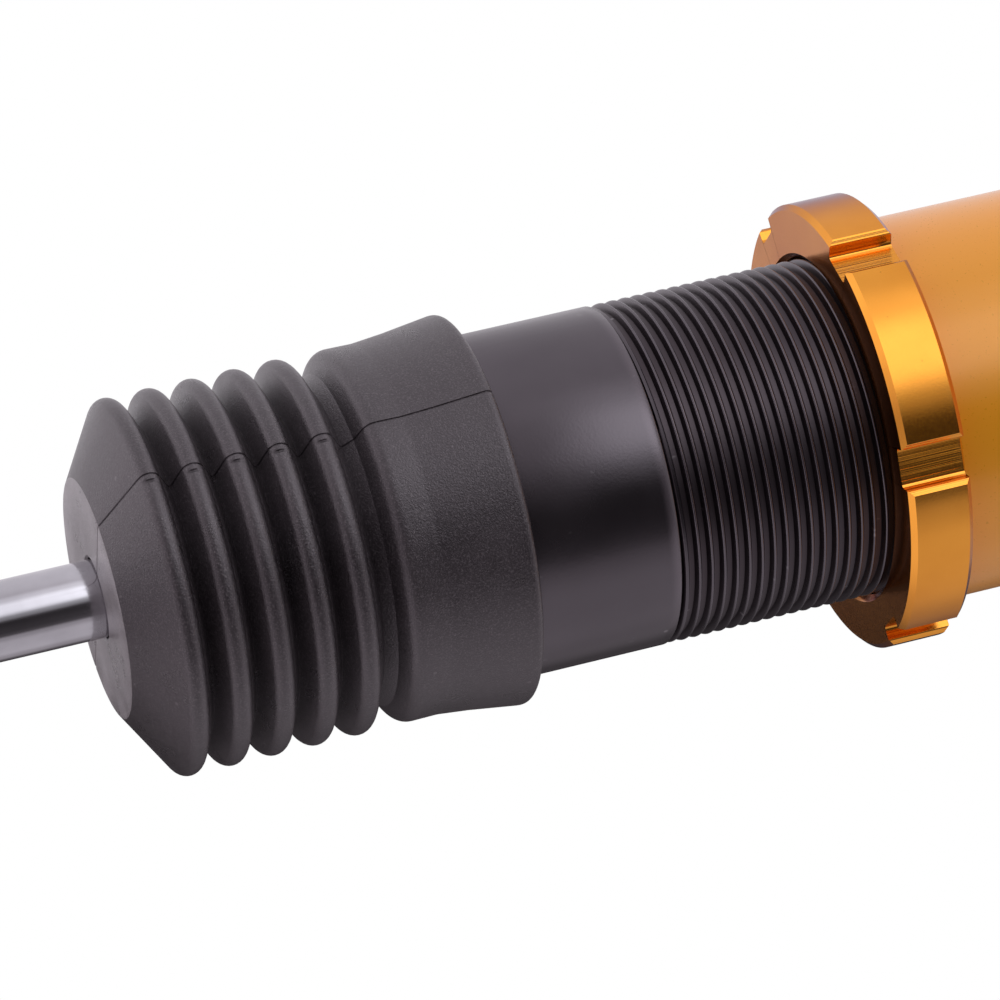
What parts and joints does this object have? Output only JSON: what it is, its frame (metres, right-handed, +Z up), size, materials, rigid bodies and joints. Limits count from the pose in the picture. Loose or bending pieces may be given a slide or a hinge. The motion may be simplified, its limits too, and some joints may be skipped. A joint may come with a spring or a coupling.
{
  "type": "height-adjustable coilover damper",
  "caption": "Height-adjustable car damper with a threaded body, a notched lock ring, a screwed lower housing with a bushed eye, a finned rubber boot and a two-stud top mount.",
  "frame": {"origin": "centre of the lower eye's bore", "axes": "+Z up the damper's axis towards the top mount, +Y along the lower bolt, +X along the line of the top studs"},
  "size_m": [0.1, 0.07, 0.5145],
  "materials": {
    "gold_housing": "satin gold anodised",
    "gold_ring": "gold anodised, turned",
    "body_black": "satin black",
    "boot_rubber": "matt moulded",
    "rod_chrome": "hard chromed and polished",
    "zinc_steel": "zinc plated",
    "inner_steel": "turned",
    "mount_black": "black coated steel",
    "bush_black": "moulded",
    "bronze": "lined slide bush",
    "seal_rubber": "moulded",
    "nylon": "nylon",
    "piston_plastic": "filled slide plastic"
  },
  "bodies": {
    "lower_pivot": {"bush_sleeve": "zinc_steel"},
    "lower_mount": {"bush_rubber": "bush_black", "bush_shell": "inner_steel", "eye_ring": "gold_housing", "base_plug": "gold_housing", "outer_sleeve": "gold_housing"},
    "ring": {"lock_ring": "gold_ring"},
    "boot": {"dust_boot": "boot_rubber"},
    "damper_body": {"damper_tube": "body_black", "tube_base": "body_black", "pressure_tube": "inner_steel", "foot_valve_body": "inner_steel", "foot_valve_discs": "inner_steel", "foot_valve_pin": "inner_steel", "rod_guide": "inner_steel", "guide_bush": "bronze", "guide_oring": "seal_rubber", "rod_seal": "seal_rubber", "seal_garter": "inner_steel", "gland_nut": "zinc_steel"},
    "rod": {"piston_rod": "rod_chrome", "rebound_stop": "inner_steel", "rebound_bumper": "piston_plastic", "backing_washer": "inner_steel", "compression_discs": "inner_steel", "piston": "inner_steel", "piston_band": "piston_plastic", "rebound_discs": "inner_steel", "piston_nut": "zinc_steel", "bump_washer": "mount_black", "top_spacer": "zinc_steel", "top_washer": "zinc_steel", "stem_nut": "zinc_steel", "nut_insert": "nylon"},
    "top_mount": {"top_rubber": "bush_black", "top_plate": "mount_black", "top_studs": "zinc_steel"}
  },
  "joints": [
    {"name": "lower_bush_twist", "type": "hinge", "parent": "lower_pivot", "child": "lower_mount", "pos_m": [0, 0, 0], "axis": [0, 1, 0], "range_deg": [-12, 12], "stiffness_Nm_per_rad": 90},
    {"name": "ring_travel", "type": "slide", "parent": "lower_mount", "child": "ring", "axis": [0, 0, 1], "range_m": [0, 0.016]},
    {"name": "height_adjust", "type": "slide", "parent": "lower_mount", "child": "boot", "axis": [0, 0, 1], "range_m": [-0.03, 0.03]},
    {"name": "body_turn", "type": "hinge", "parent": "boot", "child": "damper_body", "pos_m": [0, 0, 0.2], "axis": [0, 0, 1], "range_deg": [-5400, 5400]},
    {"name": "rod_stroke", "type": "slide", "parent": "boot", "child": "rod", "axis": [0, 0, -1], "range_m": [0, 0.11], "stiffness_N_per_m": 200, "springref_m": -0.4},
    {"name": "top_mount_tilt", "type": "hinge", "parent": "rod", "child": "top_mount", "pos_m": [0, 0, 0.4605], "axis": [0, 1, 0], "range_deg": [-5, 5], "stiffness_Nm_per_rad": 60, "deforming": ["top_rubber"]}
  ],
  "couplings": [
    {"joint": "body_turn", "follows": "height_adjust", "rad_per_m": 3141.6}
  ]
}
